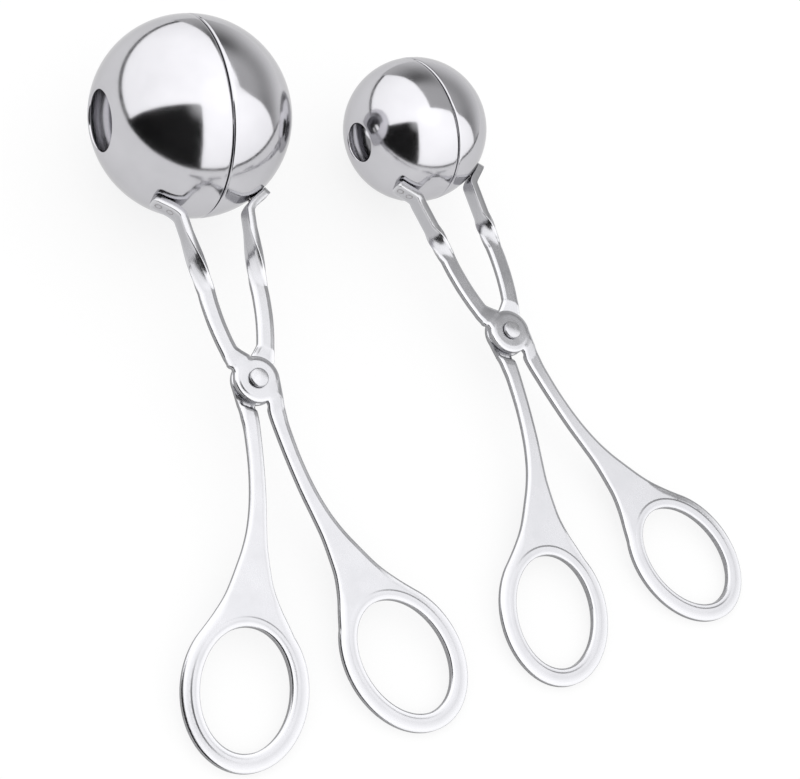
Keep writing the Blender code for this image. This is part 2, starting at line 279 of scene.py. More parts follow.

# %% [markdown]
# ### Satin steel
#
# The levers are tumbled after stamping. Their faces keep a fine grain along the sheet, while the rolled
# edges rub against everything and end up brighter. Each lever carries an "edge_wear" value on its points, 1
# at an edge and 0 on the open face, and the finish reads it to smooth and lighten the metal there. The walls
# that the press sheared are marked too, on their faces. They are rough and torn, and their colour is made
# much darker as well, as painted shade for the shadowed table under the tongs that they reflect.

# %% Make the satin steel
grain_stretch = (1, 0.15, 1)
tear_stretch = (1, 1, 0.12)
satin_steel, shader, place = steel_finish("satin_steel", tone=(0.50, 0.50, 0.52))
wear = carried(place.tree, "edge_wear")
shaded_wall = carried(place.tree, "cut_wall")
cloud = noise(place, size=0.006)
grain = noise(stretched(place, grain_stretch), size=0.0003, detail=4)
tears = noise(stretched(place, tear_stretch), size=0.00025)
face = mixed(ranged(cloud, 0, 1), (0.47, 0.47, 0.49, 1), (0.51, 0.51, 0.53, 1))
face = mixed(ranged(wear, 0, 1, start=0.1, end=0.7), face, (0.60, 0.60, 0.62, 1))
# Painted shade: the sheared walls' colour is far darker than the faces', partly for their dull torn finish
# and partly for the shadowed table they reflect.
sheared_and_shaded = mixed(ranged(tears, 0, 1), (0.24, 0.24, 0.25, 1), (0.36, 0.36, 0.37, 1))
rough = ranged(cloud, low=0.20, high=0.26) + ranged(grain, low=0, high=0.05)
rough = rough * ranged(wear, low=1, high=0.7, start=0, end=1)
dress(
    shader, mixed(shaded_wall, face, sheared_and_shaded), mixed(shaded_wall, rough, ranged(tears, low=0.28, high=0.42), "FLOAT"),
    (cloud, 0.000010), (grain, 0.0000007), (tears, 0.0000006),
)
print(satin_steel.name, "has", len(place.tree.nodes), "nodes")

# %% [markdown]
# ### Rivet steel and weld steel
#
# The rivet's head is upset cold by a spinning tool, so it is a little rougher and cloudier. A spot weld
# leaves a dull, slightly darker print where the electrode sat.

# %% Make the rivet and weld steels
rivet_steel, shader, place = steel_finish("rivet_steel", tone=(0.53, 0.53, 0.55))
cloud = noise(place, size=0.0016)
fine = noise(place, size=0.00025, detail=4)
dress(
    shader, mixed(ranged(cloud, 0, 1), (0.49, 0.49, 0.51, 1), (0.56, 0.56, 0.58, 1)),
    ranged(cloud, low=0.20, high=0.30) + ranged(fine, low=0, high=0.06),
    (cloud, 0.00002), (fine, 0.000002),
)
weld_steel, shader, place = steel_finish("weld_steel", tone=(0.34, 0.33, 0.34))
cloud = noise(place, size=0.0005)
dress(
    shader, mixed(ranged(cloud, 0, 1), (0.27, 0.26, 0.26, 1), (0.42, 0.41, 0.43, 1)),
    ranged(cloud, low=0.22, high=0.38), (cloud, 0.00001),
)
print("made", rivet_steel.name, "and", weld_steel.name)

# %% [markdown]
# ## Half balls, as a rule
#
# A half ball is a turned shape: a profile that goes once round an axis. Its profile is only arcs and short
# straight lines, so one small Geometry Nodes group can make every part of it. The group lays a grid, moves
# its rows along an arc (or a line, when the arc's radius is 0) and its columns round the X axis. A second
# group names the real sizes, works out where the roundings touch, and joins eight such strips.

# %% Helpers for trees with named inputs
socket_kinds = {"Geometry": "Geometry", "Rows": "Int", "Turns": "Int", "Material": "Material"}


def new_tree(name, labels):
    """A Geometry Nodes tree with one named input for each label, and its inputs as Numbers."""
    tree = bpy.data.node_groups.new(name, "GeometryNodeTree")
    tree.is_modifier = True
    for label in ("Geometry", *labels):
        kind = socket_kinds.get(label, "Float")
        tree.interface.new_socket(label, in_out="INPUT", socket_type=f"NodeSocket{kind}")
    tree.interface.new_socket("Geometry", in_out="OUTPUT", socket_type="NodeSocketGeometry")
    given = tree.nodes.new("NodeGroupInput")
    return tree, {socket.name: Number(socket) for socket in given.outputs if socket.name}


def ends_in(shape, material):
    """Ends a tree with Realize Instances and Set Material."""
    tree = shape.tree
    real = step(tree, "GeometryNodeRealizeInstances", Geometry=shape)
    done = step(tree, "GeometryNodeSetMaterial", Geometry=real, Material=material)
    plug(tree.nodes.new("NodeGroupOutput").inputs[0], done)


print("tree helpers ready")

# %% The strip that every turned piece is made of
strip_labels = (
    "Along From", "Out From", "Along To", "Out To", "Arc Radius", "Angle From", "Angle To", "Rows", "Turns",
)
strip, size = new_tree("Turned strip", strip_labels)
columns = size["Turns"] + 1
grid = step(
    strip, "GeometryNodeMeshGrid", Size_X=1, Size_Y=1, Vertices_X=size["Rows"] + 1, Vertices_Y=columns
)
index = step(strip, "GeometryNodeInputIndex")
row = (index / columns).math("FLOOR")
share = row / size["Rows"]
angle, along, out = (
    size[f"{label} From"] + (size[f"{label} To"] - size[f"{label} From"]) * share
    for label in ("Angle", "Along", "Out")
)
along = along + size["Arc Radius"] * angle.math("COSINE")
out = out + size["Arc Radius"] * angle.math("SINE")
way = (index - row * columns) / size["Turns"] * full_turn
place = step(
    strip, "ShaderNodeCombineXYZ", X=along, Y=out * way.math("COSINE"), Z=out * way.math("SINE")
)
moved = step(strip, "GeometryNodeSetPosition", Geometry=grid, Position=place)
plug(strip.nodes.new("NodeGroupOutput").inputs[0], moved)
print(strip.name, "has", len(strip.nodes), "nodes")


def turned(size, rows, start, end=None, radius=0, angles=(0, 0)):
    """Adds a strip between two places (along, out) or, with a radius and two angles, an arc round one."""
    values = (*start, *(end or start), radius, *angles, rows, size["Turns"])
    inputs = dict(zip(strip_labels, values))
    return step(size["Turns"].tree, "GeometryNodeGroup", settings=[("node_tree", strip)], **inputs)


def joined(shapes):
    """Joins shapes and closes the seams between them."""
    tree = shapes[0].tree
    join = tree.nodes.new("GeometryNodeJoinGeometry")
    for shape in shapes:
        plug(join.inputs[0], shape)
    whole = Number(join.outputs[0])
    return step(tree, "GeometryNodeMergeByDistance", Geometry=whole, Distance=merge_distance)


# %% The half ball's tree
lip_rows = 5
cup_tree, size = new_tree(
    "Spun half ball",
    ("Ball Radius", "Sheet", "Pole Hole Radius", "Half Gap", "Outer Rounding", "Inner Rounding", "Rows",
     "Turns", "Material"),
)
outside = size["Ball Radius"]
within = outside - size["Sheet"]
half_gap = size["Half Gap"]
hole_out = size["Pole Hole Radius"]
blend = size["Outer Rounding"]
dull = size["Inner Rounding"]
skin_rows = size["Rows"]


def touching(reach, along=None, out=None):
    """Where a rounding is centred (along, out), at a reach from the ball's centre, and at which angle."""
    known = along or out
    other = (reach * reach - known * known).math("SQRT")
    centre = (along, other) if along else (other, out)
    return centre, centre[1].math("ARCTAN2", centre[0])


seam, seam_angle = touching(outside - blend, along=half_gap + blend)
deep, deep_angle = touching(within + dull, along=half_gap + dull)
hole, hole_angle = touching(outside - blend, out=hole_out + blend)
lip, lip_angle = touching(within + dull, out=hole_out + dull)
shapes = [
    turned(size, skin_rows, (0, 0), radius=outside, angles=(seam_angle, hole_angle)),
    turned(size, lip_rows, hole, radius=blend, angles=(hole_angle, -quarter_turn)),
    turned(size, 1, (hole[0], hole_out), (lip[0], hole_out)),
    turned(size, lip_rows, lip, radius=dull, angles=(-quarter_turn, lip_angle - pi)),
    turned(size, skin_rows, (0, 0), radius=within, angles=(lip_angle, deep_angle)),
    turned(size, lip_rows, deep, radius=dull, angles=(deep_angle + pi, pi)),
    turned(size, 1, (half_gap, deep[1]), (half_gap, seam[1])),
    turned(size, lip_rows, seam, radius=blend, angles=(pi, seam_angle)),
]
ends_in(joined(shapes), size["Material"])
print(cup_tree.name, "has", len(cup_tree.nodes), "nodes")

# %% [markdown]
# ### From a tree to a finished piece
#
# A modifier is handy while a shape is being tried, but the finished piece is a plain mesh. The helper sets
# the tree's inputs by their identifiers, takes the evaluated mesh, and drops the modifier. Its place then
# goes into the mesh, and its faces are turned outwards, because a mirrored strip can come out inside in.

# %% Helpers that finish a piece
def plain_mesh(name, points, faces=(), *materials):
    """A new mesh from its points and faces."""
    mesh = bpy.data.meshes.new(name)
    mesh.from_pydata(points, [], faces)
    for material in materials:
        mesh.materials.append(material)
    return mesh


def in_scene(name, data):
    """A new object of the scene, at the origin."""
    made = bpy.data.objects.new(name, data)
    bpy.context.scene.collection.objects.link(made)
    return made


def grown(tree, start=None, **values):
    """The plain mesh that a tree makes from its named values and, if there is one, a starting mesh."""
    carrier = in_scene("carrier", start or plain_mesh("carrier", []))
    modifier = carrier.modifiers.new(tree.name, "NODES")
    modifier.node_group = tree
    for socket in tree.interface.items_tree:
        label = socket.name.replace(" ", "_")
        if socket.in_out == "INPUT" and label in values:
            modifier[socket.identifier] = values[label]
    graph = bpy.context.evaluated_depsgraph_get()
    mesh = bpy.data.meshes.new_from_object(carrier.evaluated_get(graph), depsgraph=graph)
    carrier.modifiers.remove(modifier)
    bpy.data.objects.remove(carrier)
    return mesh


def finish_piece(name, mesh, place, body, node, sharp=radians(40)):
    """Puts a mesh in its place as a piece that rides on a body and may stand for a CAD node."""
    mesh.transform(place)
    mesh.name = name
    work = bmesh.new()
    work.from_mesh(mesh)
    bmesh.ops.remove_doubles(work, verts=work.verts, dist=merge_distance)
    bmesh.ops.recalc_face_normals(work, faces=work.faces)
    work.to_mesh(mesh)
    work.free()
    mesh.shade_smooth()
    mesh.set_sharp_from_angle(angle=sharp)
    piece = in_scene(name, mesh)
    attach(piece, body)
    if node:
        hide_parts(node)
    print(name, len(mesh.polygons), "faces")


print("piece helpers ready")


# %% Make the four half balls
cup_outer_rounding = 0.00050
cup_inner_rounding = 0.00015
cup_rows = 40
cup_turns = 144
cup_bodies = {"left": "upper", "right": "lower"}
for pair, sizes in pair_sizes.items():
    for side, carrier in cup_bodies.items():
        mesh = grown(
            cup_tree, Ball_Radius=sizes.ball_radius, Sheet=cup_steel, Half_Gap=touching_gap / 2,
            Pole_Hole_Radius=sizes.pole_hole_radius, Outer_Rounding=cup_outer_rounding,
            Inner_Rounding=cup_inner_rounding, Rows=cup_rows, Turns=cup_turns, Material=mirror_steel,
        )
        facing = Matrix.Rotation(pi if side == "left" else 0, 4, "Z")
        place = frames[pair] @ Matrix.Translation((0, reaches[pair], 0)) @ facing
        finish_piece(
            f"{pair}_{side}_half_ball", mesh, place,
            f"{pair}_{carrier}", f"{pair}_{side}_cup",
        )

# %% [markdown]
# ## Rivets
#
# A rivet is turned too: a shank and, at each end, a low dome whose edge rolls under. One head is made from
# strips and the other is the same strips turned round, so both come out of one tree.

# %% The rivet's tree, and both rivets
dome_rows = 6
rivet_tree, size = new_tree(
    "Domed rivet",
    ("Head Radius", "Head Edge", "Head Rise", "Under Head", "Shank Radius", "Rounding", "Turns", "Material"),
)
rounding = size["Rounding"]
shank = size["Shank Radius"]
seat = size["Under Head"]
dome_radius = size["Head Radius"] - rounding
dome_rise = size["Head Rise"] - size["Head Edge"]
crown_radius = (dome_radius * dome_radius + dome_rise * dome_rise) / (dome_rise * 2)
top = seat + size["Head Rise"]
shoulder = seat + size["Head Edge"]
dome_angle = dome_radius.math("ARCTAN2", crown_radius - dome_rise)
edge_out = dome_radius - rounding * dome_angle.math("SINE")
rim_out = edge_out + rounding
heads = []
for way, facing in ((1, 0), (-1, pi)):
    crown = (top - crown_radius) * way
    edge = (shoulder - rounding * dome_angle.math("COSINE")) * way
    under = seat * way
    bend = dome_angle * way + facing
    heads += [
        turned(size, dome_rows, (crown, 0), radius=crown_radius, angles=(facing, bend)),
        turned(size, dome_rows, (edge, edge_out), radius=rounding, angles=(bend, quarter_turn)),
        turned(size, 1, (edge, rim_out), (under, rim_out)),
        turned(size, 1, (under, rim_out), (under, shank)),
    ]
heads.append(turned(size, 1, (seat, shank), (seat * -1, shank)))
ends_in(joined(heads), size["Material"])

rounded_head_edge = 0.00078
rivet_rounding = 0.00050
rivet_turns = 64
head_seat = lever_steel + 1.5 * touching_gap
for pair in pair_sizes:
    mesh = grown(
        rivet_tree, Head_Radius=rivet_head_radius, Head_Edge=rounded_head_edge, Head_Rise=rivet_head_rise,
        Under_Head=head_seat, Shank_Radius=rivet_shank_radius, Rounding=rivet_rounding, Turns=rivet_turns,
        Material=rivet_steel,
    )
    place = frames[pair] @ Matrix.Rotation(-quarter_turn, 4, "Y")
    finish_piece(f"{pair}_riveted_pin", mesh, place, f"{pair}_upper", f"{pair}_rivet")

# %% [markdown]
# ## Levers
#
# A lever has no rule but its outline, so it is made the way a press makes it: a flat blank first, which is
# then pushed into its joggle, twist and knee. The blank is cut by constrained Delaunay triangulation, which
# keeps every outline edge. Points laid in rows along the bends make them round. The edges of a stamping are
# rolled over for a millimetre or two, and here each point sinks by how near it is to the outline.

# %% Shares of the outline and how finely it is cut
handle_inner_shares = (
    (0.074, 0.177), (0.091, 0.238), (0.145, 0.382), (0.217, 0.536), (0.290, 0.659),
    (0.349, 0.765), (0.383, 0.880), (0.392, 0.956), (0.366, 1.043), (0.324, 1.115),
)
handle_outer_shares = (
    (0.281, 0.170), (0.285, 0.238), (0.335, 0.392), (0.418, 0.536), (0.518, 0.650),
    (0.625, 0.736), (0.749, 0.813), (0.956, 0.927), (1.146, 1.003),
)
neck_shares = ((0.233, 1.10), (1.0, 0.90))
notch_shares = ((1.095, 0.862), (1.095, 0.76), (1.05, 0.647), (0.966, 0.569))
crotch_shares = ((0.086, 1.052), (0.276, 1.26))
arm_centre_shares = ((0.705, 0.362), (0.806, 0.483), (0.917, 0.668), (0.986, 0.871), (1.0, 1.0))
loop_joins = (radians(228), radians(-38))
boss_left_arc = (radians(158), radians(282))
boss_right_arc = (radians(-8), radians(95))
loop_rolled_width = 0.0021
loop_blend = 0.003
stretch_segments = 8
loop_segments = 128
boss_segments = 40
corner_segments = 8
twist_rows = 60
arm_rows = 5
knee_rows = 16
tab_rows = 14
joggle_rings = 20
joggle_spokes = 132
joggle_crispness = 0.6
coin_radius = 0.0043
coin_drop = 0.00012
coin_run = 0.0008
coin_rings = 4
seat_places = (0.0069, 0.0075, 0.0081, 0.0091)
seat_levels = (0, 0.74, 0.9, 1)
# How much of the cut walls' dull colour and painted shade stays on the dressed strip's walls.
dressed_wall = 0.2
crease_length = 0.0022
closing_power = 4
strip_columns = 6
print("rolled edge of", 1000 * loop_rolled_width, "mm round a loop")


# %% Lines, arcs and distances
def spaced(start, end, cuts):
    """Evenly spaced values, both ends included."""
    return [start + (end - start) * i / cuts for i in range(cuts + 1)]


def rotated(point, angle):
    return Matrix.Rotation(angle, 2) @ point


def arc(radius, angles, cuts, centre=Vector((0, 0))):
    """Points on a circle from one angle to the other, both ends included."""
    return [centre + radius * Vector((cos(angle), sin(angle))) for angle in spaced(*angles, cuts)]


def smooth(points, cuts):
    """A smooth line through the points, each stretch of it cut into the same number of pieces."""
    padded = points[:1] + points + points[-1:]
    line = points[:1]
    for before, start, end, after in zip(padded, padded[1:], padded[2:], padded[3:]):
        leave = start + (end - before) / 6
        arrive = end - (after - start) / 6
        stretch = interpolate_bezier(start, leave, arrive, end, cuts + 1)
        line += [point.to_2d() for point in stretch[1:]]
    return line


def beside(line, distance, closed=False):
    """The line moved to its left by the distance."""
    moved = []
    for i, point in enumerate(line):
        before = line[i - 1] if closed or i else point
        after = line[(i + 1) % len(line)] if closed or i + 1 < len(line) else point
        way = (after - before).normalized()
        moved.append(point + distance * Vector((-way.y, way.x)))
    return moved


def ease(share):
    """Goes from 0 to 1 with a level start and end."""
    share = min(1, max(0, share))
    return share * share * (3 - 2 * share)


def scaled(shares, side, wide=boss_radius, long=boss_radius):
    """Outline points from shares of two sizes: side -1 is up the left arm, 1 is down the right handle."""
    return [Vector((side * across * wide, -side * along * long)) for across, along in shares]


def oval(grown_by, angles, cuts):
    """Points on the finger hole's oval, grown outwards. It runs clockwise as the angle rises."""
    points = []
    for angle in spaced(*angles, cuts):
        across = (loop_hole_half_width + grown_by) * cos(angle)
        down = (loop_hole_half_length + grown_by) * sin(angle)
        points.append(loop_centre + rotated(Vector((across, -down)), loop_splay))
    return points


def lies_inside(points, loop):
    """For each point, whether it lies within the closed loop."""
    x0, y0 = np.array(loop).T
    x1, y1 = np.roll(x0, -1), np.roll(y0, -1)
    x, y = points[:, :1], points[:, 1:]
    rise = np.where(y1 == y0, 1, y1 - y0)
    crossing = x0 + (y - y0) / rise * (x1 - x0)
    return ((crossing > x) & ((y0 > y) != (y1 > y))).sum(axis=1) % 2 == 1


def distance_to(points, loop):
    """For each point, how far it is from the closed loop."""
    start = np.array(loop)
    run = np.roll(start, -1, axis=0) - start
    away = points[:, None, :] - start[None, :, :]
    share = (away * run).sum(axis=2) / (run * run).sum(axis=1)
    gap = away - np.clip(share, 0, 1)[:, :, None] * run
    return np.sqrt((gap * gap).sum(axis=2).min(axis=1))


print("line helpers ready")


# %% The path that the arm takes from its twist to the tip of its tab
def stand_off(sizes, share):
    """How much farther than its tip the tab stands off the ball, from its knee at 0 to its tip at 1."""
    return sizes.knee_stand_off * (1 - share) ** closing_power


def arm_path(sizes, neck_length):
    """Middle of the arm past the flat, in the plane of the levers."""
    ball = Vector((0, neck_length + sizes.ball_radius))
    seat_radius = sizes.ball_radius + welded_gap + half_steel
    tab_sweep = sizes.tab_length / seat_radius

    def on_tab(share):
        """A point of the tab, which closes in on the ball from the knee to its tip."""
        angle = sizes.knee_angle + share * tab_sweep
        return ball - (seat_radius + stand_off(sizes, share)) * Vector((sin(angle), cos(angle)))

    start = rotated(Vector((-arm_stand_out, flat_arm_length)), sizes.spread)
    knee = on_tab(0)
    way = (knee - start).normalized()
    twist_end = start + sizes.twist_length * way
    bend_start = knee - knee_cut * way
    bend_share = knee_cut / sizes.tab_length
    path = [start.lerp(twist_end, i / twist_rows) for i in range(twist_rows)]
    path += [twist_end.lerp(bend_start, i / arm_rows) for i in range(arm_rows)]
    bend = interpolate_bezier(bend_start, knee, knee, on_tab(bend_share), knee_rows + 1)
    path += [point.to_2d() for point in bend[:-1]]
    return path + [on_tab(share) for share in spaced(bend_share, 1, tab_rows)]


print("arm path ready")


# %% The flat blank, and where the press puts each point of it
class Blank:
    def __init__(self, sizes, neck_length, tab_rise):
        self.sizes = sizes
        self.tab_rise = tab_rise
        self.path = arm_path(sizes, neck_length)
        steps = [end - start for start, end in zip(self.path, self.path[1:])]
        self.distances = [0]
        for stretch in steps:
            self.distances.append(self.distances[-1] + stretch.length)
        self.ways = [
            (after + before).normalized() for before, after in zip(steps[:1] + steps, steps + steps[-1:])
        ]
        self.bend_start = self.distances[twist_rows + arm_rows]
        self.tip = self.distances[-1]
        corner_row = self.tip - tab_corner_radius
        self.rows = [distance for distance in self.distances if distance < corner_row] + [corner_row]

    def strip_point(self, distance, across):
        """A point of the flat strip past the twist's start. Across is positive on the inner side."""
        way = self.ways[0]
        return self.path[0] + distance * way + across * Vector((way.y, -way.x))

    def share_of_twist(self, point):
        """How far along the twist a point of the sheet is: 0 on the flat, 1 where it stands on edge."""
        distance = (point - self.path[0]).dot(self.ways[0])
        return ease(distance / self.sizes.twist_length)

    def half_width(self, distance):
        return (arm_width + (tab_width - arm_width) * ease(distance / self.sizes.twist_length)) / 2

    def strip_edge(self, side):
        return [self.strip_point(distance, side * self.half_width(distance)) for distance in self.rows[1:]]

    def tab_end(self):
        """The rounded end of the tab, from its inner corner to its outer one."""
        offset = tab_width / 2 - tab_corner_radius
        corners = []
        for side, angles in ((1, (0, quarter_turn)), (-1, (quarter_turn, pi))):
            middle = Vector((side * offset, self.rows[-1]))
            corners += arc(tab_corner_radius, angles, corner_segments, middle)
        return [self.strip_point(point.y, point.x) for point in corners[1:-1]]

    def outline(self):
        """The edge of the sheet, anticlockwise, with the material on its left."""
        centre = smooth(
            [Vector((-out * arm_stand_out, up * flat_arm_length)) for out, up in arm_centre_shares],
            stretch_segments,
        )
        outer_arm = beside(centre, arm_width / 2)[::-1]
        inner_arm = beside(centre, -arm_width / 2)
        notch = scaled(notch_shares, -1)
        crotch = scaled(crotch_shares, -1)
        neck_inner, neck_outer = scaled(neck_shares, 1)
        handle_inner = scaled(handle_inner_shares, 1, loop_centre_out, handle_run)
        handle_outer = scaled(handle_outer_shares, 1, loop_centre_out, handle_run)[::-1]
        loop = oval(loop_rim_width, loop_joins, loop_segments)
        left_boss = arc(boss_radius, boss_left_arc, boss_segments)
        pressed = [
            *outer_arm[:-1],
            *smooth([outer_arm[-1], *notch, left_boss[0]], stretch_segments)[:-1],
            *left_boss,
            *smooth([neck_inner, *handle_inner, loop[0]], stretch_segments),
            *loop[1:-1],
            *smooth([loop[-1], *handle_outer, neck_outer], stretch_segments),
            *arc(boss_radius, boss_right_arc, boss_segments),
            *smooth([*crotch, inner_arm[0]], stretch_segments),
            *inner_arm[1:],
        ]
        pressed = [rotated(point, self.sizes.spread) for point in pressed]
        return pressed + self.strip_edge(1) + self.tab_end() + self.strip_edge(-1)[::-1]

    def finger_hole(self, grown_by):
        hole = oval(grown_by, (0, full_turn), loop_segments)[:-1]
        return [rotated(point, self.sizes.spread) for point in hole]

    def bend_marks(self):
        """Points of the sheet where it bends, so that the bends come out round."""
        marks = []
        for distance in self.rows:
            open_face = self.half_width(distance) - self.sizes.rolled_width
            for i in range(strip_columns + 1):
                marks.append(self.strip_point(distance, open_face * (2 * i / strip_columns - 1)))
        radii = [joggle_start + joggle_run * i / joggle_rings for i in range(joggle_rings + 1)]
        radii += [coin_radius + coin_run * i / coin_rings for i in range(coin_rings + 1)]
        for radius in radii:
            marks += arc(radius, (full_turn, 0), joggle_spokes)[:-1]
        return marks

    def press(self, point, height):
        """Where a point of the flat sheet ends up, at a height above the middle of the sheet."""
        way = self.ways[0]
        distance = (point - self.path[0]).dot(way)
        if distance <= 0:
            fall = min(1, max(0, (point.length - joggle_start) / joggle_run))
            coined = ease((point.length - coin_radius) / coin_run)
            level = joggle_crispness * fall + (1 - joggle_crispness) * ease(fall)
            if height < 0 and point.y < 0:
                level = float(np.interp(point.length, seat_places, seat_levels))
            lift = boss_lift * (1 - level)
            lift -= coin_drop * coined * (1 - fall)
            return Vector((point.x, point.y, lift + height))
        across = (point - self.path[0]).dot(Vector((way.y, -way.x)))
        row = int(np.searchsorted(self.distances[:-1], distance, side="right")) - 1
        share = (distance - self.distances[row]) / (self.distances[row + 1] - self.distances[row])
        centre = self.path[row].lerp(self.path[row + 1], share)
        way = self.ways[row].lerp(self.ways[row + 1], share).normalized()
        turned_share = min(1, distance / self.sizes.twist_length) ** self.sizes.twist_delay
        twist = (quarter_turn - self.sizes.crease_angle) * (turned_share + ease(turned_share)) / 2
        twist += self.sizes.crease_angle * ease(distance / crease_length)
        sideways = across * cos(twist) - height * sin(twist)
        rise = self.tab_rise * max(0, distance - self.bend_start) / (self.tip - self.bend_start)
        upwards = across * sin(twist) + height * cos(twist) + rise
        flat_place = centre + sideways * Vector((way.y, -way.x))
        return Vector((flat_place.x, flat_place.y, upwards))


print("blank ready")

# %% [markdown]
# ### The rolled edge and the bead round each finger hole
#
# A press rolls the edge of the sheet over for more than a millimetre, flatly at first and then quickly. The
# strip that is twisted on edge later is dressed and keeps only a small rounding. Both faces also carry a
# raised bead round each finger hole, which stiffens the loop. Each is a short table of how deep (or how
# high) the face lies at each distance from the edge, and a smooth line through it. The edge tables give the
# distance as a share of the rolled width, which is larger round a loop.

# %% How deep the face lies near an edge, and how high near the finger hole
edge_table = (
    (0.0, 0.00050), (0.03, 0.00041), (0.09, 0.00033), (0.2, 0.00025), (0.45, 0.00016),
    (0.68, 0.00008), (0.86, 0.00001), (0.93, 0.0), (1.0, 0.0),
)
strip_edge_table = (
    (0.0, 0.00018), (0.03, 0.00012), (0.09, 0.00006), (0.2, 0.00001), (0.45, 0.0), (1.0, 0.0),
)
lip_table = (
    (0.0, 0.00034), (0.00006, 0.00022), (0.0002, 0.00012), (0.0004, 0.00004), (0.0006, 0.00001),
    (0.0007, 0.0),
)
bead_table = (
    (0.0009, 0.0), (0.0010, 0.00001), (0.0012, 0.00007), (0.0014, 0.00013), (0.0015, 0.00014),
    (0.0019, 0.00014), (0.0020, 0.00013), (0.0022, 0.00007), (0.0024, 0.00001), (0.0025, 0.0),
)


def depth_line(table, cuts=2):
    """Distances and depths along a smooth line through a table."""
    line = smooth([Vector(pair) for pair in table], cuts)
    return [point.x for point in line], [max(0, point.y) for point in line]


edge_places, edge_depths = depth_line(edge_table)
strip_places, strip_depths = depth_line(strip_edge_table)
lip_places, lip_depths = depth_line(lip_table)
bead_places, bead_heights = depth_line(bead_table)
print("the edge rolls down by", round(1000 * edge_depths[0], 2), "mm")

# %% Cut and press one lever
rivet_hole_segments = 32
widening_rows = 3
row_tolerance = 0.97
mark_clearance = 1.02
bead_clearance_part = 6


def pressed_lever(blank):
    """The lever's mesh. Its points carry how bright an edge is rubbed, and its faces which are cut walls, to
    be darkened with painted shade.
    """
    outline = blank.outline()
    hole_radius = rivet_shank_radius + touching_gap
    rivet_hole = arc(hole_radius, (full_turn, 0), rivet_hole_segments)[:-1]
    finger_hole = blank.finger_hole(0)
    loops = [outline, rivet_hole, finger_hole]
    points = [point for loop in loops for point in loop]
    constraints = []
    first = 0
    for loop in loops:
        constraints += [(first + i, first + (i + 1) % len(loop)) for i in range(len(loop))]
        first += len(loop)
    for place in lip_places[1:] + bead_places:
        points += blank.finger_hole(place)
    width = blank.sizes.rolled_width
    widening = loop_rolled_width - width
    distances = [share * width for share in edge_places[1:]]
    distances += [width + widening * i / widening_rows for i in range(1, widening_rows + 1)]
    rows = [(point, distance) for distance in distances for point in beside(outline, distance, closed=True)]
    rows += [(point, width * mark_clearance) for point in blank.bend_marks()]
    rows = [row for row in rows if row[0].length > boss_radius / 2]
    spots, clearances = (np.array(values) for values in zip(*rows))
    beaded = blank.finger_hole(bead_places[-1])
    keep = distance_to(spots, outline) > row_tolerance * clearances
    keep &= lies_inside(spots, outline)
    keep &= distance_to(spots, beaded) > width / bead_clearance_part
    keep &= ~lies_inside(spots, beaded)
    points += [point for (point, _), kept in zip(rows, keep) if kept]
    flat, _, triangles, came_from, _, _ = delaunay_2d_cdt(points, constraints, [], 0, merge_distance)
    spots = np.array(flat)
    near_hole = distance_to(spots, finger_hole)
    at_loop = np.interp(near_hole, (loop_rim_width, loop_rim_width + loop_blend), (1, 0))
    to_edge = distance_to(spots, outline) / (width + widening * at_loop)
    dressed = np.array([blank.share_of_twist(point) for point in flat])
    sunk = (1 - dressed) * np.interp(to_edge, edge_places, edge_depths)
    sunk += dressed * np.interp(to_edge, strip_places, strip_depths)
    sunk = np.maximum(sunk, np.interp(near_hole, lip_places, lip_depths))
    sunk -= np.interp(near_hole, bead_places, bead_heights)
    verts = []
    for side in (1, -1):
        heights = (side * (half_steel - sunk)).tolist()
        verts += [blank.press(point, height) for point, height in zip(flat, heights)]
    middles = spots[np.array(triangles)].mean(axis=1)
    kept = lies_inside(middles, outline)
    kept &= ~lies_inside(middles, rivet_hole)
    kept &= ~lies_inside(middles, finger_hole)
    count = len(flat)
    faces = []
    for triangle, inside_sheet in zip(triangles, kept):
        if inside_sheet:
            faces += [tuple(triangle), tuple(i + count for i in reversed(triangle))]
    place_of = {source: i for i, sources in enumerate(came_from) for source in sources}
    for start, end in constraints:
        a, b = place_of[start], place_of[end]
        faces.append((b, a, a + count, b + count))
    mesh = plain_mesh("lever", verts, faces, satin_steel)
    rubbed = np.clip(1 - np.minimum(to_edge, near_hole / width), 0, 1)
    # Cut walls get the dull colour with its painted shade in full; the dressed strip's walls get only a
    # share of it.
    walls = np.zeros(len(faces))
    on_edge = np.array([blank.share_of_twist(points[start]) for start, _ in constraints])
    walls[-len(constraints):] = 1 - (1 - dressed_wall) * on_edge
    for name, domain, values in (("edge_wear", "POINT", np.tile(rubbed, 2)), ("cut_wall", "FACE", walls)):
        mesh.attributes.new(name, "FLOAT", domain).data.foreach_set("value", values.astype(np.float32))
    print("a blank of", count, "points on each side")
    return mesh


# %% Make the four levers
blanks = {}
for pair, sizes in pair_sizes.items():
    for name, angle, tab_rise in (("upper", 0, sizes.upper_tab_rise), ("lower", pi, 0)):
        blank = Blank(sizes, reaches[pair] - sizes.ball_radius, tab_rise)
        place = frames[pair] @ Matrix.Rotation(angle, 4, "Y")
        blanks[pair, name] = blank, place
        finish_piece(
            f"{pair}_{name}_pressed_lever", pressed_lever(blank), place,
            f"{pair}_{name}", f"{pair}_{name}_lever",
        )

# %% [markdown]
# ## Spot welds
#
# Two spot welds hold each tab to its half ball. Outside they show as shallow dished prints. They are the
# same small button each time, so a tree puts one on every point of a starting mesh and turns it to the
# facing that the point carries. Each button reaches through to the ball and bridges the gap under the tab.

